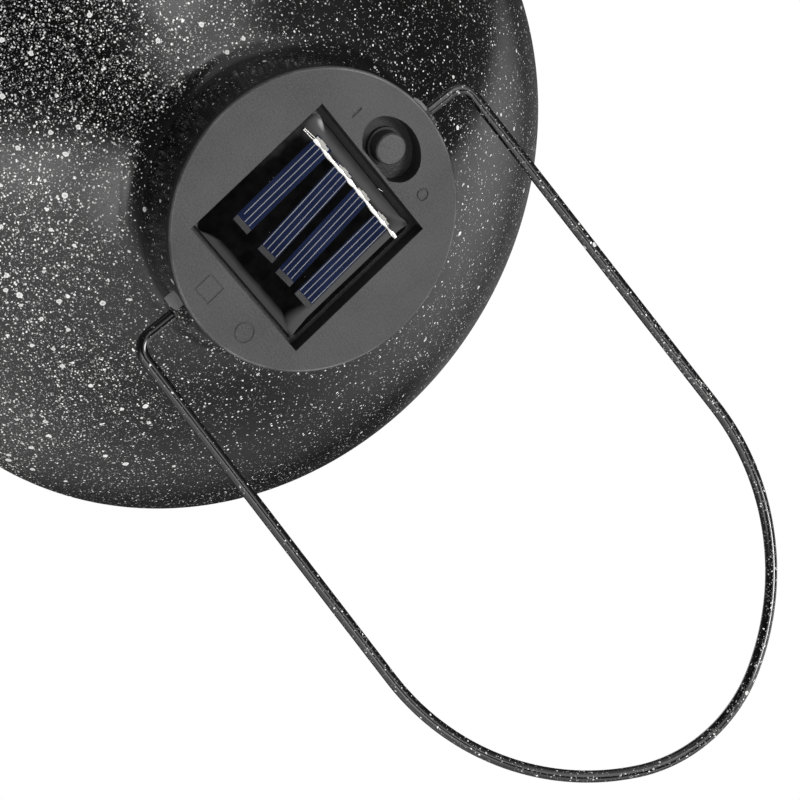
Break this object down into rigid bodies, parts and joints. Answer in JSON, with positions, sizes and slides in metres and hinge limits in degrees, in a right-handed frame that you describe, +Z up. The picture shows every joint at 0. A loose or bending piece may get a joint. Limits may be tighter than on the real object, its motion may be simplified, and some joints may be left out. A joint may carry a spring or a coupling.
{
  "type": "solar garden light",
  "caption": "Hanging solar garden light: flared enamel shade with a swinging wire bail, a lift-out solar lid module with push button, and a frosted lamp globe below.",
  "frame": {"origin": "centre of the shade's rim circle, on the plane the rim stands on", "axes": "+Z up along the lamp's axis from the rim to the solar lid; X along the bail's pivot line; the bail leans towards +Y at rest"},
  "size_m": [0.224, 0.293, 0.1406],
  "materials": {
    "enamel": "glossy black enamel with white speckle",
    "ear_enamel": "glossy black enamel with white speckle",
    "wire_enamel": "glossy black enamel with white speckle",
    "lid_plastic": "fine matte grain, dark grey",
    "gasket_rubber": "matte black",
    "panel_board": "black solder mask",
    "cell_blue": "dark blue silicon",
    "tinned_ribbon": "bright tinned strip",
    "clear_resin": "clear poured resin",
    "button_plastic": "fine matte, dark grey",
    "spring_steel": "spring steel",
    "switch_plastic": "black",
    "board_green": "green solder mask",
    "chip_black": "moulded black",
    "coil_copper": "enamelled copper",
    "resistor_tan": "ceramic body",
    "cup_plastic": "fine matte, near black",
    "cradle_plastic": "near black",
    "battery_wrap": "shrink wrap",
    "nickel_plate": "nickel plate",
    "screw_steel": "zinc plated",
    "collar_plastic": "near black",
    "frosted_globe": "frosted translucent",
    "board_white": "white solder mask",
    "led_lens": "phosphor and clear lens",
    "lead_red": "insulated lead"
  },
  "bodies": {
    "lamp_shade": {"shade": "enamel", "left_ear": "ear_enamel", "right_ear": "ear_enamel"},
    "bail": {"bail_handle": "wire_enamel"},
    "solar_module": {"module_lid": "lid_plastic", "lid_gasket": "gasket_rubber", "solar_board": "panel_board", "solar_cells": "cell_blue", "cell_ribbon": "tinned_ribbon", "panel_resin": "clear_resin", "button_spring": "spring_steel", "switch_body": "switch_plastic", "circuit_board": "board_green", "controller_chip": "chip_black", "board_coil": "coil_copper", "board_resistors": "resistor_tan", "module_cup": "cup_plastic", "battery_cradle": "cradle_plastic", "battery": "battery_wrap", "battery_spring": "spring_steel", "battery_plate": "nickel_plate", "battery_cover": "cup_plastic", "cover_screws": "screw_steel", "housing_screws": "screw_steel", "globe_collar": "collar_plastic", "lamp_globe": "frosted_globe", "led_board": "board_white", "led": "led_lens", "panel_leads": "lead_red", "battery_leads": "lead_red", "led_leads": "lead_red"},
    "push_button": {"button": "button_plastic"}
  },
  "joints": [
    {"name": "bail_swing", "type": "hinge", "parent": "lamp_shade", "child": "bail", "pos_m": [0, 0, 0.0704], "axis": [1, 0, 0], "range_deg": [-52.5, 190.5]},
    {"name": "module_lift", "type": "slide", "parent": "lamp_shade", "child": "solar_module", "axis": [0, 0, 1], "range_m": [0, 0.08]},
    {"name": "button_press", "type": "slide", "parent": "solar_module", "child": "push_button", "axis": [0, 0, -1], "range_m": [0, 0.0025], "stiffness_N_per_m": 600, "deforming": ["button_spring"]}
  ]
}
